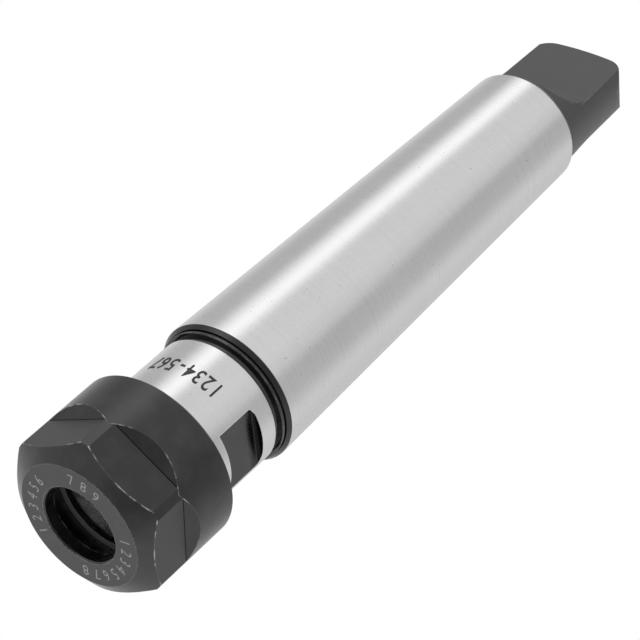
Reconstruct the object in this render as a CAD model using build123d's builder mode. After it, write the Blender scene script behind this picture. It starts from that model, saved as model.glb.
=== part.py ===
from build123d import *

import os
from math import cos, radians, sin, sqrt, tan

# Collet chuck holder: a self-holding taper shank with a drive tang, a short neck
# with two spanner flats, a threaded nose with a collet seat, and the clamping nut.
# The axis is Z. The nut's front face lies on Z = 0 and the tang points up.
# Rest is the nut screwed fully home. All sizes are in millimetres and degrees.

# Nut, outside
nut_diameter = 28.0
nut_length = 17.5
nut_face_diameter = 21.0
nut_front_chamfer_length = 2.4
nut_rear_chamfer = 0.35
hex_across_flats = 25.0
hex_flat_length = 8.05
hex_runout_angle = 40.0
hex_clocking = 5.5
hex_sides = 6

# Nut, inside, from the front face inwards
nut_hole_diameter = 12.8
nut_hole_chamfer = 0.25
nut_hole_length = 2.1
collet_face_angle = 30.0
collet_face_length = 2.9
flange_pocket_diameter = 17.4
flange_pocket_length = 0.7
lip_length = 1.2
lip_diameter = 16.6
lip_offset = 0.7
lip_offset_direction = -50.0
nut_undercut_diameter = 22.2
nut_undercut_length = 1.2
nut_thread_length = 7.9
nut_counterbore_clearance = 0.2
nut_mouth_chamfer = 0.4

# Thread that the nose and the nut share
thread_diameter = 22.0
thread_pitch = 1.5
thread_root_factor = 0.6134
thread_clearance = 0.09

# Nose, with the collet seat inside it
nose_thread_length = 8.5
nose_chamfer = 0.6
nose_relief_length = 1.6
nose_relief_depth = 0.2
seat_mouth_diameter = 16.6
seat_mouth_chamfer = 0.5
seat_half_angle = 8.0
clearance_bore_diameter = 11.0
clearance_bore_depth = 50.0
drill_point_angle = 118.0

# Neck with its two spanner flats
neck_diameter = 21.85
neck_length = 14.35
neck_start_chamfer = 0.3
flats_across = 19.0
flats_length = 7.5
flats_from_collar = 3.0
flats_corner_radius = 0.8

# Turned collar between the neck and the taper
collar_floor_depth = 0.22
collar_floor_length = 1.2
bead_diameter = 22.7
bead_length = 0.45
bead_edge = 0.12
groove_depth = 0.25
groove_length = 0.3
shoulder_start_diameter = 23.0
shoulder_chamfer_length = 0.7

# Taper shank, measured from its gauge plane
gauge_diameter = 23.825
taper_ratio = 19.922
large_end_from_gauge = 4.5
small_end_from_gauge = 75.0
small_end_chamfer = 0.6
small_end_chamfer_length = 0.9

# Tang
tang_tip_from_gauge = 94.0
tang_step = 0.93
tang_thickness = 7.6
tang_flat_length = 11.5
tang_cutter_radius = 7.0
tang_tip_radius = 2.0
tang_edge_clearance = 0.3
centre_hole_diameter = 2.5
centre_hole_depth = 4.0
centre_cone_diameter = 5.0
centre_cone_angle = 60.0

# Cutting shapes run this far past the faces that they cut
overrun = 2.0

# Radii worked out from the sizes above
nut_radius = nut_diameter / 2
hole_radius = nut_hole_diameter / 2
collet_face_radius = hole_radius + collet_face_length * tan(radians(collet_face_angle))
pocket_radius = flange_pocket_diameter / 2
lip_radius = lip_diameter / 2
core_radius = thread_diameter / 2 - thread_root_factor * thread_pitch
nut_bore_radius = core_radius + thread_clearance
neck_radius = neck_diameter / 2
counterbore_radius = neck_radius + nut_counterbore_clearance
undercut_radius = nut_undercut_diameter / 2
bore_radius = clearance_bore_diameter / 2
seat_radius = seat_mouth_diameter / 2
bead_radius = bead_diameter / 2
shoulder_radius = shoulder_start_diameter / 2

# Heights along the nut
nut_cone_start = nut_hole_length
nut_cone_end = nut_cone_start + collet_face_length
lip_start = nut_cone_end + flange_pocket_length
nut_stop = lip_start + lip_length
nut_thread_start = nut_stop + nut_undercut_length
nut_thread_end = nut_thread_start + nut_thread_length

# Heights along the holder, which rests on the stop inside the nut
nose_face = nut_stop
nose_thread_end = nose_face + nose_thread_length
neck_start = nose_thread_end + nose_relief_length
collar_start = neck_start + neck_length
bead_start = collar_start + collar_floor_length
groove_start = bead_start + bead_length
shoulder_start = groove_start + groove_length
large_end = shoulder_start + shoulder_chamfer_length
gauge_plane = large_end + large_end_from_gauge
small_end = gauge_plane + small_end_from_gauge
tang_tip = gauge_plane + tang_tip_from_gauge
rim_start = small_end - small_end_chamfer_length
flats_end = collar_start - flats_from_collar
flats_start = flats_end - flats_length


def taper_radius(height):
    """Radius of the taper at a height."""
    return gauge_diameter / 2 - (height - gauge_plane) / taper_ratio / 2


def tang_radius(height):
    """Radius of the tang's round edges, which follow the taper one step in."""
    return taper_radius(height) - tang_step


def axial_plane(angle):
    """Plane through the axis at an angle, with the radius along its x and Z along its y."""
    direction = radians(angle)
    return Plane(
        origin=(0, 0, 0),
        x_dir=(cos(direction), sin(direction), 0),
        z_dir=(sin(direction), -cos(direction), 0),
    )


# Clamping nut: a turned blank, six milled flats and an eccentric lip
front_corner = (nut_radius, nut_front_chamfer_length)
rear_corner = (nut_radius - nut_rear_chamfer, nut_length)
concentric_lip_radius = lip_radius - lip_offset

with BuildPart() as clamping_nut:
    with BuildSketch(Plane.XZ):
        with BuildLine():
            Polyline(
                (hole_radius + nut_hole_chamfer, 0),
                (nut_face_diameter / 2, 0),
                front_corner,
                (nut_radius, nut_length - nut_rear_chamfer),
                rear_corner,
                (counterbore_radius + nut_mouth_chamfer, nut_length),
                (counterbore_radius, nut_length - nut_mouth_chamfer),
                (counterbore_radius, nut_thread_end + counterbore_radius - nut_bore_radius),
                (nut_bore_radius, nut_thread_end),
                (nut_bore_radius, nut_thread_start),
                (undercut_radius, nut_thread_start),
                (undercut_radius, nut_stop),
                (concentric_lip_radius, nut_stop),
                (concentric_lip_radius, lip_start),
                (pocket_radius, lip_start),
                (pocket_radius, nut_cone_end),
                (collet_face_radius, nut_cone_end),
                (hole_radius, nut_cone_start),
                (hole_radius, nut_hole_chamfer),
                close=True,
            )
        make_face()
    revolve(axis=Axis.Z)

    # The lip is bored off centre, so it stands out on one side and hooks the collet
    offset_angle = radians(lip_offset_direction)
    with BuildSketch(Plane.XY.offset(lip_start)):
        with Locations((lip_offset * cos(offset_angle), lip_offset * sin(offset_angle))):
            Circle(lip_radius)
    extrude(amount=lip_length, mode=Mode.SUBTRACT)

    # Each flat ends in a sloping wall that runs out through the round collar
    cutter_reach = nut_radius + overrun
    flat_radius = hex_across_flats / 2
    wall_top = hex_flat_length + (cutter_reach - flat_radius) / tan(radians(hex_runout_angle))
    for side in range(hex_sides):
        with BuildSketch(axial_plane(hex_clocking + side * 360 / hex_sides)):
            with BuildLine():
                Polyline(
                    (flat_radius, -overrun),
                    (cutter_reach, -overrun),
                    (cutter_reach, wall_top),
                    (flat_radius, hex_flat_length),
                    close=True,
                )
            make_face()
        extrude(amount=cutter_reach, both=True, mode=Mode.SUBTRACT)

clamping_nut.part.label = "clamping_nut"


# Holder: nose, neck, collar, taper and tang, turned from one bar
seat_start = nose_face + seat_mouth_chamfer
seat_end = seat_start + (seat_radius - bore_radius) / tan(radians(seat_half_angle))
bore_end = nose_face + clearance_bore_depth
bore_point = bore_end + bore_radius / tan(radians(drill_point_angle / 2))
floor_radius = neck_radius - collar_floor_depth
cone_radius = centre_cone_diameter / 2
drill_radius = centre_hole_diameter / 2
cone_depth = (cone_radius - drill_radius) / tan(radians(centre_cone_angle / 2))

with BuildPart() as chuck_body:
    with BuildSketch(Plane.XZ):
        with BuildLine():
            Polyline(
                (0, bore_point),
                (bore_radius, bore_end),
                (bore_radius, seat_end),
                (seat_radius, seat_start),
                (seat_radius + seat_mouth_chamfer, nose_face),
                (core_radius - nose_chamfer, nose_face),
                (core_radius, nose_face + nose_chamfer),
                (core_radius, nose_thread_end),
                (core_radius - nose_relief_depth, nose_thread_end + nose_relief_depth),
                (core_radius - nose_relief_depth, neck_start),
                (neck_radius - neck_start_chamfer, neck_start),
                (neck_radius, neck_start + neck_start_chamfer),
                (neck_radius, collar_start),
                (floor_radius, collar_start),
                (floor_radius, bead_start),
                (bead_radius - bead_edge, bead_start),
                (bead_radius, bead_start + bead_edge),
                (bead_radius, groove_start),
                (bead_radius - groove_depth, groove_start),
                (bead_radius - groove_depth, shoulder_start),
                (shoulder_radius, shoulder_start),
                (taper_radius(large_end), large_end),
                (taper_radius(rim_start), rim_start),
                (taper_radius(small_end) - small_end_chamfer, small_end),
                (tang_radius(small_end), small_end),
                (tang_radius(tang_tip), tang_tip),
                (cone_radius, tang_tip),
                (drill_radius, tang_tip - cone_depth),
                (drill_radius, tang_tip - centre_hole_depth),
                (0, tang_tip - centre_hole_depth),
                close=True,
            )
        make_face()
    revolve(axis=Axis.Z)

    # Round the rim of the tang's end before its flats are milled
    tip_rim = chuck_body.edges().filter_by(GeomType.CIRCLE).group_by(Axis.Z)[-1].sort_by(SortBy.RADIUS)[-1]
    fillet(tip_rim, radius=tang_tip_radius)

    # Two flats make the tang, each run out by the round cutter that mills it
    tang_flat = tang_thickness / 2
    tang_flat_start = tang_tip - tang_flat_length
    tang_reach = tang_radius(small_end) + tang_edge_clearance
    cutter_lift = tang_cutter_radius - (tang_reach - tang_flat)
    runout_height = tang_flat_start - sqrt(tang_cutter_radius**2 - cutter_lift**2)
    for angle in (90, -90):
        with BuildSketch(axial_plane(angle)):
            with BuildLine():
                RadiusArc(
                    (tang_flat, tang_flat_start),
                    (tang_reach, runout_height),
                    tang_cutter_radius,
                )
                Polyline(
                    (tang_reach, runout_height),
                    (tang_reach, tang_tip + overrun),
                    (tang_flat, tang_tip + overrun),
                    (tang_flat, tang_flat_start),
                )
            make_face()
        extrude(amount=tang_reach, both=True, mode=Mode.SUBTRACT)

    # Two spanner flats across the neck, square to the tang's flats
    neck_flat = flats_across / 2
    neck_reach = neck_radius + overrun
    for angle in (0, 180):
        with BuildSketch(axial_plane(angle)):
            with BuildLine():
                Polyline(
                    (neck_flat + flats_corner_radius, flats_end),
                    (neck_reach, flats_end),
                    (neck_reach, flats_start),
                    (neck_flat, flats_start),
                    (neck_flat, flats_end - flats_corner_radius),
                )
                RadiusArc(
                    (neck_flat, flats_end - flats_corner_radius),
                    (neck_flat + flats_corner_radius, flats_end),
                    flats_corner_radius,
                )
            make_face()
        extrude(amount=neck_reach, both=True, mode=Mode.SUBTRACT)

chuck_body.part.label = "chuck_body"

os.makedirs("parts", exist_ok=True)
export_step(clamping_nut.part, "parts/clamping_nut.step")
export_step(chuck_body.part, "parts/chuck_body.step")
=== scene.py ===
"""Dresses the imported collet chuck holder: its finishes, nose thread, plain marks, studio and camera."""

from __future__ import annotations

import logging
import math
from dataclasses import dataclass, field
from enum import Enum
from typing import Any

import bmesh
import bpy
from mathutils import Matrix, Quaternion, Vector

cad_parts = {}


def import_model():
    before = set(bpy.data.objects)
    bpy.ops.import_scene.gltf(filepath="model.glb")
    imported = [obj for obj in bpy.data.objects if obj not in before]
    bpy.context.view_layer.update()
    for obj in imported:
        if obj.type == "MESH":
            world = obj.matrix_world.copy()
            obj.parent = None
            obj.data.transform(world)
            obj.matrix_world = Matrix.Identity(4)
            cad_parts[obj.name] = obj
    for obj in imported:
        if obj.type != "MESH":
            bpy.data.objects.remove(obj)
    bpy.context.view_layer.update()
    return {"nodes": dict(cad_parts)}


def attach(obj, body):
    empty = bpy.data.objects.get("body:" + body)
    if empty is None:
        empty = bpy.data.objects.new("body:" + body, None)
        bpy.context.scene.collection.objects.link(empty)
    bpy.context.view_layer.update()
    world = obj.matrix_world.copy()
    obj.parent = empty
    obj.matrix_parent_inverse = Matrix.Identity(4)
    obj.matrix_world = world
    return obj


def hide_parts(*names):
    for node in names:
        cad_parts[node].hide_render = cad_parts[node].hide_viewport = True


logging.basicConfig(level=logging.INFO, format="%(levelname)s %(message)s")
LOG = logging.getLogger("collet_chuck_holder")

MM = 0.001
TURN_SLACK = 0.03
WIDEST_FACET = 0.7
Value = Any


class Slot(Enum):
    """Names for the holder's and the nut's finishes, which nothing in this script uses."""

    HOLDER = "ground_steel"
    NUT = "black_oxide_steel"


class Graph:
    """A node tree of a material, a world or a geometry group, with short ways to add to it."""

    def __init__(self, tree: bpy.types.NodeTree) -> None:
        """Wraps a tree.

        Args:
            tree: The node tree that gets the nodes.
        """
        self.tree = tree

    def node(self, kind: str, settings: dict[str, Any] | None = None, **inputs: Value) -> bpy.types.Node:
        """Adds one node.

        Args:
            kind: The node's type name.
            settings: Properties of the node, set before its sockets.
            inputs: Values or links for sockets, by name with underscores, or by _index.

        Returns:
            The new node.
        """
        made = self.tree.nodes.new(kind)
        for key, value in (settings or {}).items():
            setattr(made, key, value)
        for key, value in inputs.items():
            if key.startswith("_"):
                socket = made.inputs[int(key[1:])]
            else:
                socket = made.inputs[key.replace("_", " ")]
            self.feed(socket, value)
        return made

    def feed(self, socket: bpy.types.NodeSocket, value: Value) -> None:
        """Links a socket or sets its default value.

        Args:
            socket: The input socket.
            value: A Term, an output socket or a plain value.
        """
        if isinstance(value, Term):
            value = value.socket
        if isinstance(value, bpy.types.NodeSocket):
            self.tree.links.new(value, socket)
        else:
            socket.default_value = value

    def term(
        self, kind: str, output: int | str = 0, settings: dict[str, Any] | None = None, **inputs: Value
    ) -> Term:
        """Adds one node and returns one of its outputs as a Term."""
        return Term(self, self.node(kind, settings, **inputs).outputs[output])

    def math(self, operation: str, *values: Value, clamp: bool = False) -> Term:
        """Adds a Math node.

        Args:
            operation: The Math node's operation.
            values: Up to three values or links.
            clamp: Whether the result is kept from 0 to 1.

        Returns:
            The result as a Term.
        """
        inputs = {f"_{index}": value for index, value in enumerate(values)}
        return self.term("ShaderNodeMath", 0, {"operation": operation, "use_clamp": clamp}, **inputs)

    def ramp(self, value: Value, stops: list[tuple[float, tuple[float, float, float]]]) -> Term:
        """Adds a colour ramp whose colours ease from stop to stop.

        Args:
            value: The factor.
            stops: Places and linear colours.

        Returns:
            The colour as a Term.
        """
        made = self.tree.nodes.new("ShaderNodeValToRGB")
        made.color_ramp.interpolation = "EASE"
        elements = made.color_ramp.elements
        while len(elements) < len(stops):
            elements.new(0.5)
        for element, (place, colour) in zip(elements, stops):
            element.position = place
            element.color = (*colour, 1.0)
        self.feed(made.inputs[0], value)
        return Term(self, made.outputs[0])

    def mix(self, factor: Value, first: Value, second: Value, mode: str = "MIX") -> Term:
        """Mixes two colours.

        Args:
            factor: 0 gives the first colour and 1 the second.
            first: A colour or link.
            second: A colour or link.
            mode: The blend mode.

        Returns:
            The mixed colour as a Term.
        """
        made = self.tree.nodes.new("ShaderNodeMix")
        made.data_type = "RGBA"
        made.blend_type = mode
        self.feed(made.inputs[0], factor)
        self.feed(made.inputs[6], first)
        self.feed(made.inputs[7], second)
        return Term(self, made.outputs[2])


class Term:
    """An output socket that can be used in Python expressions."""

    def __init__(self, graph: Graph, socket: bpy.types.NodeSocket) -> None:
        """Wraps a socket of a graph."""
        self.graph = graph
        self.socket = socket

    def __add__(self, other: Value) -> Term:
        """Adds a value."""
        return self.graph.math("ADD", self, other)

    __radd__ = __add__

    def __sub__(self, other: Value) -> Term:
        """Takes a value away."""
        return self.graph.math("SUBTRACT", self, other)

    def __rsub__(self, other: Value) -> Term:
        """Takes this term away from a value."""
        return self.graph.math("SUBTRACT", other, self)

    def __mul__(self, other: Value) -> Term:
        """Multiplies by a value."""
        return self.graph.math("MULTIPLY", self, other)

    __rmul__ = __mul__

    def __truediv__(self, other: Value) -> Term:
        """Divides by a value."""
        return self.graph.math("DIVIDE", self, other)

    def __gt__(self, other: Value) -> Term:
        """Gives 1 where this term is greater."""
        return self.graph.math("GREATER_THAN", self, other)

    def __lt__(self, other: Value) -> Term:
        """Gives 1 where this term is less."""
        return self.graph.math("LESS_THAN", self, other)

    def __abs__(self) -> Term:
        """Gives the size without the sign."""
        return self.graph.math("ABSOLUTE", self)

    def near(self, value: Value, width: float) -> Term:
        """Gives 1 at a value, falling to 0 at a width from it."""
        return self.graph.math("SUBTRACT", 1.0, abs(self - value) / width, clamp=True)

    def step(self, low: float, high: float) -> Term:
        """Rises from 0 at low to 1 at high."""
        return self.graph.term(
            "ShaderNodeMapRange", 0, {"clamp": True}, Value=self, From_Min=low, From_Max=high
        )


@dataclass(frozen=True)
class Surface:
    """Object coordinates of a turned piece, in metres, as terms."""

    graph: Graph
    point: Term
    x: Term
    y: Term
    height: Term
    radius: Term
    angle: Term

    @classmethod
    def read(cls, graph: Graph) -> Surface:
        """Adds the nodes that read the surface's place.

        Args:
            graph: The material's graph.

        Returns:
            The coordinates.
        """
        point = graph.term("ShaderNodeTexCoord", "Object")
        split = graph.node("ShaderNodeSeparateXYZ", Vector=point)
        x, y, height = (Term(graph, socket) for socket in split.outputs)
        radius = graph.math("SQRT", x * x + y * y)
        angle = graph.math("ARCTAN2", y, x)
        return cls(graph, point, x, y, height, radius, angle)

    def noise(self, scale: float, detail: float = 3.0) -> Term:
        """Adds noise on the surface's own coordinates.

        Args:
            scale: Noise cells in a metre.
            detail: Octaves.

        Returns:
            Noise from 0 to 1.
        """
        return self.graph.term("ShaderNodeTexNoise", "Fac", Vector=self.point, Scale=scale, Detail=detail)

    def turned_noise(self, rings: float, around: float) -> Term:
        """Adds noise drawn out round the axis, as a lathe or a grinding wheel leaves it.

        Args:
            rings: Noise cells in a metre of height and radius.
            around: Noise cells in a radian.

        Returns:
            Noise from 0 to 1.
        """
        along = (self.height + self.radius) * rings
        placed = self.graph.term(
            "ShaderNodeCombineXYZ", 0, X=along, Y=self.x * around, Z=self.y * around
        )
        return self.graph.term("ShaderNodeTexNoise", "Fac", Vector=placed, Scale=1.0, Detail=2.0)


def new_material(name: str) -> tuple[bpy.types.Material, Graph, bpy.types.Node]:
    """Makes a material with one Principled shader.

    Args:
        name: The material's name.

    Returns:
        The material, its graph and its shader.
    """
    material = bpy.data.materials.new(name)
    material.use_nodes = True
    graph = Graph(material.node_tree)
    shader = material.node_tree.nodes["Principled BSDF"]
    return material, graph, shader


@dataclass(frozen=True)
class BlackOxide:
    """Satin black oxide on machined steel, lighter where it is rubbed and bare where it is worn off. Its
    crease colour is painted shade, and its bare colour also serves as painted highlights on some edges.
    """

    colour: tuple[float, float, float] = (0.005, 0.005, 0.0055)
    rubbed: tuple[float, float, float] = (0.026, 0.026, 0.027)
    # Bare steel where the oxide is worn off, also used as painted highlights on some edges.
    wear_and_glint: tuple[float, float, float] = (0.46, 0.46, 0.47)
    matt: tuple[float, float, float] = (0.060, 0.060, 0.063)
    # Painted shade: near-black for creases and recesses where shade falls.
    crease: tuple[float, float, float] = (0.003, 0.003, 0.003)
    roughness: float = 0.24
    ior: float = 1.62
    bare: float = 0.35
    mottle_scale: float = 320.0
    grain_scale: float = 4200.0

    def colours(self, place: Surface) -> tuple[Term, Term]:
        """Adds the oxide's colour and roughness.

        Args:
            place: The surface's coordinates.

        Returns:
            The colour and the roughness.
        """
        mottle = place.noise(self.mottle_scale, 4.0)
        grain = place.noise(self.grain_scale, 2.0)
        rub = place.graph.math("MULTIPLY", mottle.step(0.45, 0.8), 0.35 + grain * 0.9, clamp=True)
        colour = place.graph.mix(rub, self.colour + (1.0,), self.rubbed + (1.0,))
        roughness = self.roughness + (mottle - 0.5) * 0.16 + (grain - 0.5) * 0.14
        return colour, roughness


@dataclass(frozen=True)
class GroundSteel:
    """Bright steel from the grinding wheel, with fine lines round the axis and a few small pits."""

    colour: tuple[float, float, float] = (0.90, 0.90, 0.905)
    line: tuple[float, float, float] = (0.62, 0.62, 0.625)
    pit: tuple[float, float, float] = (0.30, 0.30, 0.30)
    roughness: float = 0.19
    rings: float = 7000.0
    around: float = 60.0
    pit_scale: float = 2400.0
    grain_scale: float = 4600.0

    def colours(self, place: Surface) -> tuple[Term, Term, Term]:
        """Adds the ground steel's colour and roughness, and the height of its grinding lines.

        Args:
            place: The surface's coordinates.

        Returns:
            The colour, the roughness and the lines.
        """
        lines = place.turned_noise(self.rings, self.around)
        cloud = place.noise(90.0, 3.0)
        pits = place.noise(self.pit_scale, 1.0).step(0.75, 0.79) * 0.7
        grain = place.noise(self.grain_scale, 2.0)
        share = lines * 0.4 + grain * 0.4 + cloud * 0.2
        metal = place.graph.mix(share, self.line + (1.0,), self.colour + (1.0,))
        colour = place.graph.mix(pits, metal, self.pit + (1.0,))
        roughness = self.roughness + (lines - 0.5) * 0.10 + (cloud - 0.5) * 0.12 + (grain - 0.5) * 0.12
        return colour, roughness, lines


@dataclass(frozen=True)
class Engraving:
    """Laser marking: one plain colour that is broken by fine grain."""

    name: str
    colour: tuple[float, float, float]
    faded: tuple[float, float, float]
    metallic: float
    roughness: float = 0.5

    def material(self) -> bpy.types.Material:
        """Makes the marking's material.

        Returns:
            The material.
        """
        material, graph, shader = new_material(self.name)
        place = Surface.read(graph)
        grain = place.noise(5200.0, 2.0).step(0.35, 0.65)
        graph.feed(shader.inputs["Base Color"], graph.mix(grain, self.faded + (1.0,), self.colour + (1.0,)))
        graph.feed(shader.inputs["Roughness"], self.roughness + (grain - 0.5) * 0.1)
        shader.inputs["Metallic"].default_value = self.metallic
        return material


@dataclass(frozen=True)
class FlatFace:
    """A flat cut on a turned piece."""

    azimuth: float
    distance: float
    tilt: float = 0.0
    parallel: float = 0.9998
    slack: float = 0.03

    def holds(self, normal: Vector, point: Vector) -> bool:
        """Tells whether a facet lies on the flat.

        Args:
            normal: The facet's normal.
            point: A point of the facet, in metres.

        Returns:
            Whether it does.
        """
        turn, tilt = math.radians(self.azimuth), math.radians(self.tilt)
        own = Vector((math.cos(tilt) * math.cos(turn), math.cos(tilt) * math.sin(turn), -math.sin(tilt)))
        return normal.dot(own) > self.parallel and abs(own.dot(point) - self.distance * MM) < self.slack * MM


@dataclass(frozen=True)
class Milled:
    """A stretch of the piece where a cutter that turned across the axis left rounded corners."""

    low: float
    high: float
    across: int
    reach: float
    slack: float = 0.002

    def holds(self, normal: Vector, point: Vector) -> bool:
        """Tells whether a facet lies in one of those corners."""
        inside = self.low * MM < point.z < self.high * MM and point.xy.length < self.reach * MM
        return inside and abs(normal[self.across]) < self.slack


@dataclass(frozen=True)
class RunOut:
    """The hollow that a round cutter leaves where it climbs out of a flat, on both sides of the piece."""

    flat: float
    start: float
    cutter_radius: float
    reach: float
    half_length: float = 11.0
    steps: int = 28
    clearance: float = 0.05
    overlap: float = 0.3
    overreach: float = 0.5

    def profile(self) -> list[tuple[float, float]]:
        """Works out the hollow's outline.

        Returns:
            Its corners, as distance from the axis and height, in millimetres.
        """
        lift = self.reach - self.flat
        drop = math.sqrt(self.cutter_radius**2 - (self.cutter_radius - lift) ** 2)
        sweep = math.asin(drop / self.cutter_radius)
        corners = []
        for index in range(self.steps + 1):
            turn = sweep * index / self.steps
            out = self.flat + self.cutter_radius * (1 - math.cos(turn))
            corners.append((out, self.start - self.cutter_radius * math.sin(turn)))
        outside, above = self.reach + self.overreach, self.start + self.overlap
        corners += [(outside, corners[-1][1]), (outside, above)]
        corners.append((self.flat + self.clearance, above))
        return corners

    def cutter(self) -> bpy.types.Object:
        """Makes the tool that cuts the hollow on both sides.

        Returns:
            The tool's object.
        """
        profile = self.profile()
        faces = []
        for side in (1.0, -1.0):
            near = [Vector((-self.half_length, side * y, z)) for y, z in profile]
            far = [Vector((self.half_length, side * y, z)) for y, z in profile]
            faces += prism(near, far)
        return solid("run_out_cutter", faces, None)


@dataclass(frozen=True)
class DomedTip:
    """The slightly domed end of the tang, with rounded corners."""

    top: float
    half_width: float
    dome_radius: float = 46.0
    corner_radius: float = 3.5
    steps: int = 48
    clearance: float = 0.15
    overlap: float = 1.0
    half_length: float = 6.0

    def height(self, across: float) -> float:
        """Works out the height of the end.

        Args:
            across: Distance from the tang's middle, in millimetres.

        Returns:
            The height in millimetres.
        """
        past = max(0.0, across - (self.half_width - self.corner_radius))
        rounding = self.corner_radius - math.sqrt(max(0.0, self.corner_radius**2 - past**2))
        return self.top - across**2 / (2 * self.dome_radius) - rounding

    def cutter(self) -> bpy.types.Object:
        """Makes the tool that takes off what stands above the dome.

        Returns:
            The tool's object.
        """
        profile = []
        for index in range(self.steps + 1):
            across = self.half_width * math.sin(math.pi * (index / self.steps - 0.5))
            profile.append((across, self.height(abs(across))))
        outside, above = self.half_width + self.clearance, self.top + self.overlap
        profile += [(outside, profile[-1][1]), (outside, above)]
        profile += [(-outside, above), (-outside, profile[0][1])]
        near = [Vector((x, -self.half_length, z)) for x, z in profile]
        far = [Vector((x, self.half_length, z)) for x, z in profile]
        return solid("tip_cutter", prism(near, far), None)


@dataclass(frozen=True)
class DressedCopy:
    """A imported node's surface, joined and shaded as the turned piece that it stands for."""

    node: bpy.types.Object
    name: str
    flats: tuple[FlatFace, ...]
    milled: tuple[Milled, ...] = ()
    tools: tuple[RunOut | DomedTip, ...] = ()
    crease: float = 24.0
    level: float = 0.02

    def make(self, material: bpy.types.Material) -> bpy.types.Object:
        """Copies the node, joins its loose triangles and sets its normals.

        Args:
            material: The finish.

        Returns:
            The copy, which replaces the node.
        """
        mesh = self.node.data.copy()
        mesh.name = self.name
        mesh.materials.clear()
        merge(mesh)
        for tool in self.tools:
            mesh = self.carved(mesh, tool.cutter())
        mesh.shade_smooth()
        mesh.set_sharp_from_angle(angle=math.radians(self.crease))
        mesh.normals_split_custom_set(self.normals(mesh))
        mesh.materials.append(material)
        piece = bpy.data.objects.new(self.name, mesh)
        bpy.context.scene.collection.objects.link(piece)
        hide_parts(self.node.name)
        return piece

    def carved(self, mesh: bpy.types.Mesh, cutter: bpy.types.Object) -> bpy.types.Mesh:
        """Cuts a tool's shape out of the mesh.

        Args:
            mesh: The joined mesh.
            cutter: The tool, which is removed afterwards.

        Returns:
            The carved mesh, in triangles.
        """
        blank = bpy.data.objects.new("blank", mesh)
        bpy.context.scene.collection.objects.link(blank)
        cut = blank.modifiers.new("cut", "BOOLEAN")
        cut.operation = "DIFFERENCE"
        cut.solver = "EXACT"
        cut.object = cutter
        graph = bpy.context.evaluated_depsgraph_get()
        carved = bpy.data.meshes.new_from_object(blank.evaluated_get(graph))
        for used in (blank, cutter):
            bpy.data.objects.remove(used)
        carved.name = self.name
        carved.materials.clear()
        merge(carved)
        return carved

    def normals(self, mesh: bpy.types.Mesh) -> list[Vector]:
        """Works out a normal for each corner of the mesh.

        Args:
            mesh: The joined mesh, with its sharp edges marked.

        Returns:
            The normals, in the order of the mesh's loops.
        """
        found = [corner.vector.copy() for corner in mesh.corner_normals]
        for facet in mesh.polygons:
            normal, middle = facet.normal.copy(), facet.center.copy()
            points = [mesh.vertices[index].co for index in facet.vertices]
            flat = any(face.holds(normal, middle) for face in self.flats)
            flat = flat or normal.xy.length < self.level
            turned = not flat and not any(cut.holds(normal, middle) for cut in self.milled)
            if turned:
                turned = self.follows_axis(normal, middle, points)
            for loop, point in zip(facet.loop_indices, points):
                if flat:
                    found[loop] = normal
                elif turned:
                    found[loop] = self.turned_normal(normal, middle, point)
        return found

    @staticmethod
    def follows_axis(normal: Vector, middle: Vector, points: list[Vector]) -> bool:
        """Tells whether a facet is part of a surface turned round the axis.

        Args:
            normal: The facet's normal.
            middle: The facet's middle.
            points: Its corners.

        Returns:
            Whether the normal's direction lies within the angle that the facet spans.
        """
        out = normal.xy if normal.xy.dot(middle.xy) > 0 else -normal.xy
        turns = [math.atan2(out.cross(point.xy), out.dot(point.xy)) for point in points]
        spans = min(turns) < TURN_SLACK and max(turns) > -TURN_SLACK
        return spans and max(turns) - min(turns) < WIDEST_FACET

    @staticmethod
    def turned_normal(normal: Vector, middle: Vector, point: Vector) -> Vector:
        """Turns a facet's normal round the axis to one of its corners.

        Args:
            normal: The facet's normal.
            middle: The facet's middle.
            point: The corner.

        Returns:
            The normal at the corner.
        """
        side = 1.0 if normal.xy.dot(middle.xy) > 0 else -1.0
        out = point.xy.normalized() * side * math.sqrt(max(0.0, 1.0 - normal.z**2))
        return Vector((out.x, out.y, normal.z))


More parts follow.
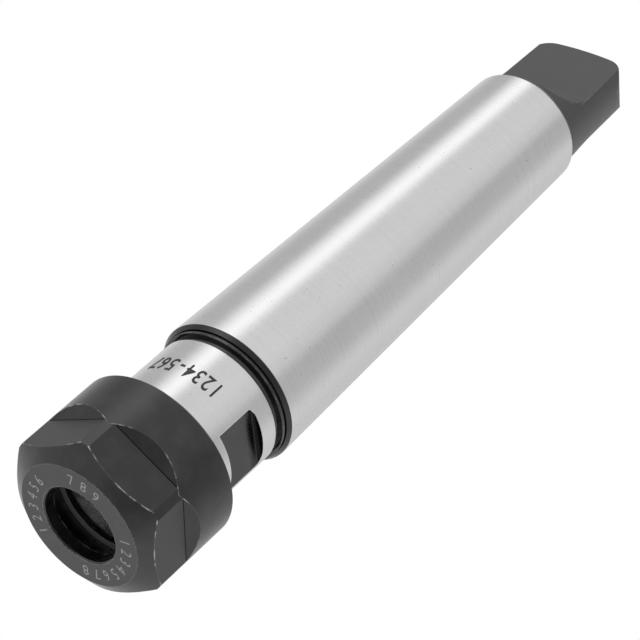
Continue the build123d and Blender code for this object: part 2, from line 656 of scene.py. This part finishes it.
@dataclass
class Holder:
    """The holder: ground taper and neck, black tang, collar, spanner flats and nose."""

    node: bpy.types.Object
    neck_radius: float = 10.925
    neck_start: float = 17.0
    collar_start: float = 31.35
    large_end: float = 34.0
    small_end: float = 113.5
    small_radius: float = 9.2
    gauge_plane: float = 38.5
    gauge_radius: float = 23.825 / 2
    taper_per_height: float = 1 / 19.922 / 2
    seat_radius: float = 8.3
    neck_flat: float = 9.5
    flats_start: float = 20.85
    flats_end: float = 28.35
    tang_flat: float = 3.8
    tang_flat_start: float = 121.0
    tang_cutter_radius: float = 7.0
    tang_reach: float = 9.33
    tang_tip: float = 132.5
    tang_radius: float = 8.65
    tang_matt: float = 0.7
    tang_worn_radius: float = 8.9
    tang_worn_from: float = 118.0
    rim_middle: float = 0.45
    rim_half: float = 0.5
    pocket_shade: tuple[float, float] = (26.4, 27.8)
    fillet_half_width: float = 10.4
    bead_radius: float = 11.35
    bead_height: float = 32.62
    mouth_height: float = 7.4
    cutter_past: float = 12.0
    band: float = 0.05
    steel: GroundSteel = field(default_factory=GroundSteel)
    oxide: BlackOxide = field(default_factory=BlackOxide)

    def finish(self) -> bpy.types.Material:
        """Makes the holder's material, bright where it was ground and black elsewhere, with painted shade in
        the pockets of the neck flats and painted highlights on some edges.

        Returns:
            The material.
        """
        material, graph, shader = new_material("holder_steel")
        place = Surface.read(graph)
        height, radius = place.height / MM, place.radius / MM
        neck = (
            (height > self.neck_start + self.band)
            * (height < self.collar_start)
            * (radius > self.neck_radius - self.band)
        )
        taper_radius = self.gauge_radius - (height - self.gauge_plane) * self.taper_per_height
        taper = (
            (height > self.large_end - self.band)
            * (height < self.small_end - self.band)
            * (radius > taper_radius - self.band)
        )
        rim = height.near(self.small_end - self.rim_middle, self.rim_half).step(0.0, 0.1)
        rim = rim * (radius > self.small_radius)
        seat = (height < self.large_end) * (radius < self.seat_radius + self.band)
        bright = graph.math("ADD", neck + taper + rim, seat, clamp=True)
        metal, metal_roughness, lines = self.steel.colours(place)
        black, black_roughness = self.oxide.colours(place)
        wear_and_glint = self.wear_and_glint_edges(place, height, radius)
        pocket = (height < self.collar_start) * (radius < self.neck_radius - self.band)
        pocket = pocket * (radius > self.neck_flat - 0.1)
        tang = (height > self.small_end) * self.tang_matt
        black = graph.mix(tang, black, self.oxide.matt + (1.0,))
        # Painted shade: each neck flat's pocket turns near-black towards its fillet, standing in for the
        # shade and dark reflection there.
        shade = pocket * height.step(*self.pocket_shade) * (1 - wear_and_glint) * 0.85
        marked = graph.mix(wear_and_glint, black, self.oxide.wear_and_glint + (1.0,))
        oxide = graph.mix(shade, marked, self.oxide.crease + (1.0,))
        graph.feed(shader.inputs["Base Color"], graph.mix(bright, oxide, metal))
        glossy = (height > self.collar_start) * (height < self.large_end - self.band)
        dark = graph.math("MAXIMUM", wear_and_glint * self.oxide.bare, shade)
        graph.feed(shader.inputs["Metallic"], graph.math("MAXIMUM", bright, dark))
        plain = black_roughness - glossy * 0.10 + (height > self.small_end) * 0.12
        graph.feed(shader.inputs["Roughness"], metal_roughness * bright + plain * (1 - bright))
        bump = graph.term("ShaderNodeBump", 0, Height=lines, Strength=0.06, Distance=0.02 * MM)
        graph.feed(shader.inputs["Normal"], bump)
        shader.inputs["IOR"].default_value = self.oxide.ior
        return material

    def wear_and_glint_edges(self, place: Surface, height: Term, radius: Term) -> Term:
        """Marks where handling has rubbed the oxide off the tang's edges, and paints highlights along the
        collar bead, the fillets of the neck flats and the seat mouth.

        Args:
            place: The surface's coordinates.
            height: Height in millimetres.
            radius: Radius in millimetres.

        Returns:
            The mask of wear and painted highlights.
        """
        graph = place.graph
        across = abs(place.x) / MM
        # Painted highlights: a thin bright line along each fillet of the neck flats, and bright specks along
        # the collar bead and the seat mouth.
        fillet_highlight = height.near(self.flats_end - 0.35, 0.09) * (across < self.fillet_half_width)
        fillet_highlight = fillet_highlight * (radius < self.neck_radius - self.band)
        bead_glint = radius.near(self.bead_radius, 0.05) * height.near(self.bead_height, 0.16)
        mouth_glint = height.near(self.mouth_height, 0.09) * (radius < self.seat_radius + 0.1)
        # Real wear: the oxide rubbed off the tang's edges.
        tang = radius.near(self.tang_worn_radius, 0.22) * (abs(place.y) / MM).near(self.tang_flat, 0.16)
        tang = tang * (height > self.tang_worn_from)
        patches = place.noise(1400.0, 3.0).step(0.42, 0.62)
        edges = (bead_glint * 0.8 + tang * 0.3 + mouth_glint) * patches + fillet_highlight * 0.3
        return graph.math("MULTIPLY", edges, 0.9, clamp=True)

    def dress(self) -> bpy.types.Object:
        """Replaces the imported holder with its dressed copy.

        Returns:
            The piece that stands for the holder.
        """
        flats = [FlatFace(turn, self.neck_flat) for turn in (0.0, 180.0)]
        flats += [FlatFace(turn, self.tang_flat) for turn in (90.0, 270.0)]
        corners = (
            Milled(self.flats_start - 0.1, self.flats_end + 0.1, 1, self.neck_radius - self.band),
            Milled(self.small_end, self.tang_tip + 1, 0, self.cutter_past),
            Milled(self.tang_tip - 4.5, self.tang_tip + 1, 1, self.cutter_past),
        )
        hollow = RunOut(self.tang_flat, self.tang_flat_start, self.tang_cutter_radius, self.tang_reach)
        tools = (hollow, DomedTip(self.tang_tip, self.tang_radius))
        copy = DressedCopy(self.node, "holder_body", tuple(flats), corners, tools)
        piece = copy.make(self.finish())
        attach(piece, "holder")
        return piece


@dataclass
class NoseThread:
    """The fine right-hand thread on the holder's nose, wound as one ridge."""

    start: float = 7.3
    pitch: float = 1.5
    turns: float = 5.1
    root_radius: float = 10.0
    crest_radius: float = 10.93
    root_half: float = 0.62
    crest_half: float = 0.09
    steps: int = 64
    oxide: BlackOxide = field(default_factory=BlackOxide)

    def material(self) -> bpy.types.Material:
        """Makes the thread's material: black oxide, rubbed bright along the crest.

        Returns:
            The material.
        """
        material, graph, shader = new_material("thread_black_oxide")
        place = Surface.read(graph)
        black, roughness = self.oxide.colours(place)
        patches = place.noise(1500.0, 3.0).step(0.4, 0.6)
        crest = (place.radius / MM).step(self.crest_radius - 0.12, self.crest_radius) * patches * 0.7
        graph.feed(shader.inputs["Base Color"], graph.mix(crest, black, self.oxide.wear_and_glint + (1.0,)))
        graph.feed(shader.inputs["Metallic"], crest * self.oxide.bare)
        graph.feed(shader.inputs["Roughness"], roughness)
        shader.inputs["IOR"].default_value = self.oxide.ior
        return material

    def tree(self, material: bpy.types.Material) -> bpy.types.NodeTree:
        """Builds the geometry nodes that wind the ridge.

        Args:
            material: The ridge's finish.

        Returns:
            The node group, with named inputs for the thread's sizes.
        """
        tree = bpy.data.node_groups.new("wound_thread", "GeometryNodeTree")
        tree.interface.new_socket("Geometry", in_out="OUTPUT", socket_type="NodeSocketGeometry")
        for name in ("Start", "Pitch", "Turns", "Root radius", "Crest rise", "Root half", "Crest half"):
            tree.interface.new_socket(name, in_out="INPUT", socket_type="NodeSocketFloat")
        graph = Graph(tree)
        given = tree.nodes.new("NodeGroupInput").outputs
        sizes = {socket.name: Term(graph, socket) for socket in given if socket.name}
        helix = graph.term(
            "GeometryNodeCurveSpiral",
            Resolution=self.steps,
            Rotations=sizes["Turns"],
            Start_Radius=sizes["Root radius"],
            End_Radius=sizes["Root radius"],
            Height=sizes["Pitch"] * sizes["Turns"],
            Reverse=True,
        )
        upright = graph.term("GeometryNodeSetCurveNormal", 0, {"mode": "Z_UP"}, Curve=helix)
        corners = (
            (0.0, sizes["Root half"]),
            (sizes["Crest rise"], sizes["Crest half"]),
            (sizes["Crest rise"], 0 - sizes["Crest half"]),
            (0.0, 0 - sizes["Root half"]),
        )
        points = [graph.term("ShaderNodeCombineXYZ", 0, X=x, Y=y) for x, y in corners]
        ridge = graph.term(
            "GeometryNodeCurvePrimitiveQuadrilateral",
            0,
            {"mode": "POINTS"},
            **{f"_{index}": point for index, point in enumerate(points, 7)},
        )
        wound = graph.node("GeometryNodeCurveToMesh", Curve=upright, Profile_Curve=ridge, Fill_Caps=True)
        lift = graph.term("ShaderNodeCombineXYZ", 0, Z=sizes["Start"])
        placed = graph.term("GeometryNodeTransform", 0, Geometry=wound.outputs[0], Translation=lift)
        real = graph.term("GeometryNodeRealizeInstances", 0, Geometry=placed)
        dressed = graph.term("GeometryNodeSetMaterial", 0, Geometry=real, Material=material)
        output = tree.nodes.new("NodeGroupOutput")
        tree.links.new(dressed.socket, output.inputs[0])
        return tree

    def dress(self) -> bpy.types.Object:
        """Winds the ridge and puts it on the holder.

        Returns:
            The thread.
        """
        material = self.material()
        piece = bpy.data.objects.new("nose_thread", bpy.data.meshes.new("nose_thread"))
        bpy.context.scene.collection.objects.link(piece)
        modifier = piece.modifiers.new("wound", "NODES")
        modifier.node_group = self.tree(material)
        values = {
            "Start": self.start,
            "Pitch": self.pitch,
            "Root radius": self.root_radius,
            "Crest rise": self.crest_radius - self.root_radius,
            "Root half": self.root_half,
            "Crest half": self.crest_half,
        }
        for item in modifier.node_group.interface.items_tree:
            if item.in_out == "INPUT":
                modifier[item.identifier] = self.turns if item.name == "Turns" else values[item.name] * MM
        graph = bpy.context.evaluated_depsgraph_get()
        mesh = bpy.data.meshes.new_from_object(piece.evaluated_get(graph))
        piece.modifiers.clear()
        piece.data = mesh
        outward(mesh)
        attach(piece, "holder")
        return piece


def merge(mesh: bpy.types.Mesh) -> None:
    """Merges a mesh's doubles and splits its larger faces into triangles.

    Args:
        mesh: The mesh.
    """
    shell = bmesh.new()
    shell.from_mesh(mesh)
    bmesh.ops.remove_doubles(shell, verts=shell.verts, dist=1e-7)
    bmesh.ops.triangulate(shell, faces=shell.faces)
    shell.to_mesh(mesh)
    shell.free()


def outward(mesh: bpy.types.Mesh) -> None:
    """Merges a closed mesh's doubles and points its faces outwards.

    Args:
        mesh: The mesh.
    """
    shell = bmesh.new()
    shell.from_mesh(mesh)
    bmesh.ops.remove_doubles(shell, verts=shell.verts, dist=1e-8)
    bmesh.ops.recalc_face_normals(shell, faces=shell.faces)
    shell.to_mesh(mesh)
    shell.free()


@dataclass
class ClampingNut:
    """The clamping nut in satin black oxide with worn edges and painted highlights inside its bore."""

    node: bpy.types.Object
    face_radius: float = 10.5
    hole_radius: float = 6.4
    hole_length: float = 2.1
    nut_radius: float = 14.0
    chamfer_rise: float = 2.4 / 3.5
    flat_distance: float = 12.5
    flat_length: float = 8.05
    runout_angle: float = 40.0
    clocking: float = 5.5
    flats: int = 6
    # Heights and widths of the painted highlight rings on the steps inside the bore.
    glint_ring_heights: tuple[tuple[float, float], ...] = ((5.0, 0.07), (5.72, 0.06), (6.85, 0.06))
    inner_radius: float = 9.2
    corner_from: float = 25.5
    corner_above: float = 1.7
    corner_beyond: float = 12.4
    wear: float = 0.13
    oxide: BlackOxide = field(default_factory=BlackOxide)

    def finish(self) -> bpy.types.Material:
        """Makes the nut's material, with painted shade along the corner between each flat and its wall.

        Returns:
            The material.
        """
        material, graph, shader = new_material("nut_black_oxide")
        place = Surface.read(graph)
        height, radius = place.height / MM, place.radius / MM
        sector = math.tau / self.flats
        turned = place.angle - math.radians(self.clocking) + (self.flats - 1) * sector + sector / 2
        folded = graph.math("MODULO", turned, sector) - sector / 2
        flat = radius * graph.math("COSINE", folded)
        wear_and_glint = self.wear_and_glint_edges(place, height, radius, flat, abs(folded))
        # Painted shade: a near-black, fully metallic line along the corner where each flat meets its wall,
        # standing in for the shade in that crease.
        corner_shade_mask = flat.near(self.flat_distance, 0.10) * height.near(self.flat_length, 0.10)
        crease = corner_shade_mask.step(0.05, 0.5) * (radius < self.nut_radius - 0.1)
        black, roughness = self.oxide.colours(place)
        marked = graph.mix(wear_and_glint, black, self.oxide.wear_and_glint + (1.0,))
        graph.feed(shader.inputs["Base Color"], graph.mix(crease, marked, self.oxide.crease + (1.0,)))
        graph.feed(shader.inputs["Metallic"], graph.math("MAXIMUM", wear_and_glint * self.oxide.bare, crease))
        milled = flat.near(self.flat_distance, 0.1).step(0.3, 0.6) * (height < self.flat_length)
        graph.feed(shader.inputs["Roughness"], roughness + milled * 0.12)
        lines = place.turned_noise(5200.0, 50.0)
        bump = graph.term("ShaderNodeBump", 0, Height=lines, Strength=0.05, Distance=0.02 * MM)
        graph.feed(shader.inputs["Normal"], bump)
        shader.inputs["IOR"].default_value = self.oxide.ior
        return material

    def wear_and_glint_edges(self, place: Surface, height: Term, radius: Term, flat: Term, folded: Term) -> Term:
        """Marks where handling has rubbed the oxide off the nut's edges, and paints highlights on the edges
        inside the bore.

        Args:
            place: The surface's coordinates.
            height: Height in millimetres.
            radius: Radius in millimetres.
            flat: Distance from the axis towards the nearest flat, in millimetres.
            folded: Angle from the middle of that flat.

        Returns:
            The mask of wear and painted highlights.
        """
        graph = place.graph
        rim = height - (radius - self.face_radius) * self.chamfer_rise
        on_flat = flat.near(self.flat_distance, self.wear)
        hexagon = on_flat * rim.near(0.0, self.wear)
        corner = (folded > math.radians(self.corner_from)) * rim.near(0.0, 0.24)
        corner = corner * (height > self.corner_above) * (flat > self.corner_beyond)
        slope = (flat - self.flat_distance) / math.tan(math.radians(self.runout_angle))
        wall = (height - self.flat_length - slope).near(0.0, 0.09) * (radius > self.nut_radius - 0.07)
        face = radius.near(self.face_radius, 0.10) * (height < 0.12) * 0.35
        hole = radius.near(self.hole_radius + 0.25, 0.12) * (height < 0.2) * 0.5
        # Painted highlights: thin bright rings on the back edge of the hole and on the steps inside the
        # bore, partly wear and partly standing in for the glints there.
        ledge_glint = radius.near(self.hole_radius, 0.12) * height.near(self.hole_length, 0.08)
        glint_rings = [height.near(middle, width) for middle, width in self.glint_ring_heights]
        steps = (glint_rings[0] + glint_rings[1] + glint_rings[2]) * (radius < self.inner_radius)
        handled = place.noise(150.0, 1.0).step(0.40, 0.58)
        patches = place.noise(900.0, 4.0).step(0.46, 0.62)
        flecks = place.noise(3200.0, 2.0).step(0.38, 0.66)
        outer = (hexagon * 1.2 + wall * 0.9) * patches * handled + (hexagon + wall) * 0.07
        edges = outer + (corner * 1.3 + face + hole) * flecks + ledge_glint * patches + steps * 0.9
        return graph.math("MULTIPLY", edges, 1.1, clamp=True)

    def dress(self) -> bpy.types.Object:
        """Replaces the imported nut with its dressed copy.

        Returns:
            The piece that stands for the nut.
        """
        tilt = math.radians(self.runout_angle)
        wall = self.flat_distance * math.cos(tilt) - self.flat_length * math.sin(tilt)
        faces = []
        for index in range(self.flats):
            azimuth = self.clocking + index * 360 / self.flats
            faces += [FlatFace(azimuth, self.flat_distance), FlatFace(azimuth, wall, self.runout_angle)]
        piece = DressedCopy(self.node, "nut_body", tuple(faces)).make(self.finish())
        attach(piece, "nut")
        return piece


@dataclass(frozen=True)
class Glyphs:
    """Plain digits cut from a font, each as a thin closed solid round its own middle."""

    height: float
    narrow: float
    weight: float
    depth: float = 0.05

    def cut(self, digit: str) -> list[tuple[tuple[float, float, float], ...]]:
        """Cuts one digit.

        Args:
            digit: The character.

        Returns:
            Its faces' corners in millimetres: right, up and out.
        """
        curve = bpy.data.curves.new("digit", "FONT")
        curve.body = digit
        curve.size = self.height / 0.69
        curve.extrude = self.depth / 2
        curve.offset = self.weight
        curve.resolution_u = 3
        source = bpy.data.objects.new("digit", curve)
        bpy.context.scene.collection.objects.link(source)
        graph = bpy.context.evaluated_depsgraph_get()
        mesh = bpy.data.meshes.new_from_object(source.evaluated_get(graph))
        bpy.data.objects.remove(source)
        bpy.data.curves.remove(curve)
        wide = [vertex.co.x for vertex in mesh.vertices]
        middle = (min(wide) + max(wide)) / 2
        rise = self.height / 2
        faces = []
        for facet in mesh.polygons:
            corners = [mesh.vertices[index].co for index in facet.vertices]
            faces.append(tuple(((p.x - middle) * self.narrow, p.y - rise, p.z) for p in corners))
        bpy.data.meshes.remove(mesh)
        return faces


@dataclass
class FaceDigits:
    """Pale plain digits round the hole of the nut, their tops outwards."""

    groups: tuple[tuple[str, float, float], ...] = (
        ("123456", 150.0, 14.2),
        ("789", 270.0, 15.0),
        ("12345678", -6.0, 13.9),
    )
    radius: float = 8.55
    proud: float = 0.012
    glyphs: Glyphs = Glyphs(height=1.85, narrow=0.85, weight=-0.002)
    marking: Engraving = Engraving("face_engraving", (0.42, 0.42, 0.42), (0.24, 0.24, 0.24), 0.2)

    def dress(self) -> bpy.types.Object:
        """Engraves the digits and puts them on the nut.

        Returns:
            The digits as one piece.
        """
        faces = []
        for digits, first, pitch in self.groups:
            for index, digit in enumerate(digits):
                turn = math.radians(first + index * pitch)
                out = Vector((math.cos(turn), math.sin(turn), 0.0))
                along = Vector((-math.sin(turn), math.cos(turn), 0.0))
                lift = Vector((0.0, 0.0, self.glyphs.depth / 2 - self.proud))
                for corners in self.glyphs.cut(digit):
                    faces.append(
                        [
                            out * (self.radius + y) + along * x + lift - Vector((0, 0, z))
                            for x, y, z in corners
                        ]
                    )
        piece = solid("face_digits", faces, self.marking.material())
        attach(piece, "nut")
        return piece


@dataclass
class NeckDigits:
    """Dark plain digits round the neck, their tops towards the nut."""

    digits: str = "1234-567"
    first: float = -56.7
    pitch: float = -8.5
    middle: float = 25.2
    neck_radius: float = 10.925
    proud: float = 0.03
    glyphs: Glyphs = Glyphs(height=2.8, narrow=0.72, weight=0.03)
    marking: Engraving = Engraving("neck_engraving", (0.012, 0.012, 0.012), (0.05, 0.05, 0.05), 0.0)

    def dress(self) -> bpy.types.Object:
        """Engraves the digits and puts them on the holder.

        Returns:
            The digits as one piece.
        """
        faces = []
        base = self.neck_radius + self.proud - self.glyphs.depth / 2
        for index, digit in enumerate(self.digits):
            start = math.radians(self.first + index * self.pitch)
            for corners in self.glyphs.cut(digit):
                bent = []
                for x, y, z in corners:
                    turn, reach = start - x / self.neck_radius, base + z
                    bent.append(Vector((reach * math.cos(turn), reach * math.sin(turn), self.middle - y)))
                faces.append(bent)
        piece = solid("neck_digits", faces, self.marking.material())
        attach(piece, "holder")
        return piece


def prism(near: list[Vector], far: list[Vector]) -> list[list[Vector]]:
    """Closes two outlines into a prism.

    Args:
        near: The corners of one end.
        far: The corners of the other end, in the same order.

    Returns:
        The corners of each face.
    """
    faces = [near, far]
    for index in range(len(near)):
        after = (index + 1) % len(near)
        faces.append([near[index], near[after], far[after], far[index]])
    return faces


def solid(
    name: str, faces: list[list[Vector]], material: bpy.types.Material | None
) -> bpy.types.Object:
    """Makes one piece of loose faces.

    Args:
        name: The piece's name.
        faces: The corners of each face, in millimetres.
        material: The finish, or None for a tool that is removed again.

    Returns:
        The piece, with its doubles merged and its faces outwards.
    """
    shell = bmesh.new()
    for corners in faces:
        shell.faces.new([shell.verts.new(corner * MM) for corner in corners])
    mesh = bpy.data.meshes.new(name)
    shell.to_mesh(mesh)
    shell.free()
    outward(mesh)
    if material:
        mesh.materials.append(material)
    piece = bpy.data.objects.new(name, mesh)
    bpy.context.scene.collection.objects.link(piece)
    return piece


@dataclass(frozen=True)
class Lamp:
    """One large soft lamp that points at the middle of the object."""

    name: str
    place: tuple[float, float, float]
    width: float
    height: float
    power: float

    def add(self, aim: Vector) -> None:
        """Adds the lamp.

        Args:
            aim: The point that it lights.
        """
        light = bpy.data.lights.new(self.name, "AREA")
        light.shape = "RECTANGLE"
        light.size = self.width
        light.size_y = self.height
        light.energy = self.power
        lamp = bpy.data.objects.new(self.name, light)
        lamp.location = self.place
        lamp.rotation_mode = "QUATERNION"
        lamp.rotation_quaternion = (aim - lamp.location).to_track_quat("-Z", "Y")
        lamp.visible_glossy = False
        bpy.context.scene.collection.objects.link(lamp)


@dataclass(frozen=True)
class Studio:
    """A pale tent round the object, whose long soft bands show in the ground steel."""

    bands: tuple[tuple[float, float], ...] = (
        (-180, 0.70),
        (-160, 0.73),
        (-120, 0.54),
        (-100, 0.55),
        (-62, 1.28),
        (-40, 0.76),
        (0, 0.78),
        (20, 0.72),
        (42, 0.52),
        (62, 0.54),
        (100, 0.73),
        (140, 0.66),
        (164, 0.62),
        (180, 0.70),
    )
    camera_azimuth: float = -50.2
    camera_side: tuple[float, float, float] = (0.508, -0.614, -0.604)
    backdrop: float = 1.0
    ambient: float = 0.70
    low_lift: float = 0.32
    camera_shade: float = 0.58
    under_shade: float = 0.30
    floor_drop: float = 0.0004
    floor_size: float = 6.0
    paper: tuple[float, float, float] = (0.86, 0.86, 0.86)
    paper_roughness: float = 0.7
    lamp_aim: tuple[float, float, float] = (0.0, 0.0, 0.06)
    lamps: tuple[Lamp, ...] = (
        Lamp("overhead", (0.5, -0.4, 1.2), 0.8, 0.8, 3.0),
        Lamp("fill", (-0.9, 0.5, 0.8), 0.9, 0.9, 1.6),
    )

    def light(self) -> None:
        """Sets the world: white to the camera, the tent to reflections, plain light to the rest."""
        world = bpy.data.worlds.new("studio_tent")
        bpy.context.scene.world = world
        world.use_nodes = True
        tree = world.node_tree
        tree.nodes.clear()
        graph = Graph(tree)
        ray = graph.term("ShaderNodeTexCoord", "Generated")
        split = graph.node("ShaderNodeSeparateXYZ", Vector=ray)
        x, y, rise = (Term(graph, socket) for socket in split.outputs)
        turn = graph.math("ARCTAN2", y, x)
        share = graph.math("WRAP", (turn * (180 / math.pi) - self.camera_azimuth + 180) / 360, 1.0, 0.0)
        stops = [((place + 180) / 360, (level, level, level)) for place, level in self.bands]
        tent = graph.ramp(share, stops)
        low = 1 + (0 - rise).step(0.2, 0.6) * self.low_lift
        dot = {"operation": "DOT_PRODUCT"}
        towards = graph.term("ShaderNodeVectorMath", "Value", dot, _0=ray, _1=self.camera_side)
        under = 1 - (0 - rise).step(0.75, 0.97) * self.under_shade
        level = low * under * (1 - towards.step(0.45, 0.90) * self.camera_shade)
        grey = graph.term("ShaderNodeCombineXYZ", 0, X=level, Y=level, Z=level)
        tent = graph.mix(1.0, tent, grey, "MULTIPLY")
        path = graph.node("ShaderNodeLightPath").outputs
        glossy, passed = (Term(graph, path[f"Is {kind} Ray"]) for kind in ("Glossy", "Transmission"))
        mirrored = graph.math("MAXIMUM", glossy, passed)
        seen = graph.mix(mirrored, (self.ambient, self.ambient, self.ambient, 1.0), tent)
        white = (self.backdrop, self.backdrop, self.backdrop, 1.0)
        colour = graph.mix(Term(graph, path["Is Camera Ray"]), seen, white)
        background = graph.node("ShaderNodeBackground", Color=colour)
        output = graph.node("ShaderNodeOutputWorld")
        tree.links.new(background.outputs[0], output.inputs[0])

    def floor(self) -> None:
        """Makes the pale floor, which only a camera above it sees."""
        bpy.ops.mesh.primitive_plane_add(size=self.floor_size, location=(0, 0, -self.floor_drop))
        floor = bpy.context.object
        floor.name = "studio_floor"
        material, graph, shader = new_material("studio_floor_paper")
        shader.inputs["Base Color"].default_value = self.paper + (1.0,)
        shader.inputs["Roughness"].default_value = self.paper_roughness
        behind = graph.term("ShaderNodeNewGeometry", "Backfacing")
        camera = graph.term("ShaderNodeLightPath", "Is Camera Ray")
        clear = graph.node("ShaderNodeBsdfTransparent")
        shown = camera * (1 - behind)
        mixed = graph.node("ShaderNodeMixShader", _0=shown, _1=clear.outputs[0], _2=shader.outputs[0])
        output = material.node_tree.nodes["Material Output"]
        material.node_tree.links.new(mixed.outputs[0], output.inputs[0])
        floor.data.materials.append(material)

    def add_lamps(self) -> None:
        """Adds the lamps, all of them pointed at the middle of the object."""
        for lamp in self.lamps:
            lamp.add(Vector(self.lamp_aim))


@dataclass(frozen=True)
class Camera:
    """The photograph's camera, which looks up at the nut's face from below."""

    azimuth: float = 39.5975
    elevation: float = -37.1664
    roll: float = 47.9034
    distance: float = 0.438
    aim: tuple[float, float, float] = (0.00094, 0.00080, 0.05574)
    lens: float = 162.31

    def add(self) -> None:
        """Adds the camera and makes it the scene's own."""
        azimuth, elevation = math.radians(self.azimuth), math.radians(self.elevation)
        level = math.cos(elevation)
        back = Vector((math.sin(azimuth) * level, -math.cos(azimuth) * level, math.sin(elevation)))
        data = bpy.data.cameras.new("photo_camera")
        data.lens = self.lens
        data.sensor_width = 36.0
        data.clip_start, data.clip_end = 0.01, 20.0
        camera = bpy.data.objects.new("photo_camera", data)
        camera.location = Vector(self.aim) + back * self.distance
        camera.rotation_mode = "QUATERNION"
        upright = (-back).to_track_quat("-Z", "Y")
        camera.rotation_quaternion = Quaternion(back, math.radians(self.roll)) @ upright
        bpy.context.scene.collection.objects.link(camera)
        bpy.context.scene.camera = camera


def main() -> None:
    """Loads the frame, dresses each piece, and sets up the studio and the camera."""
    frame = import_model()
    bpy.context.scene.view_settings.view_transform = "Standard"
    nodes = frame["nodes"]
    parts = (
        Holder(nodes["chuck_body"]),
        NoseThread(),
        ClampingNut(nodes["clamping_nut"]),
        FaceDigits(),
        NeckDigits(),
    )
    for part in parts:
        piece = part.dress()
        LOG.info("%s: %d faces", piece.name, len(piece.data.polygons))
    studio = Studio()
    studio.light()
    studio.floor()
    studio.add_lamps()
    Camera().add()


if __name__ == "__main__":
    main()
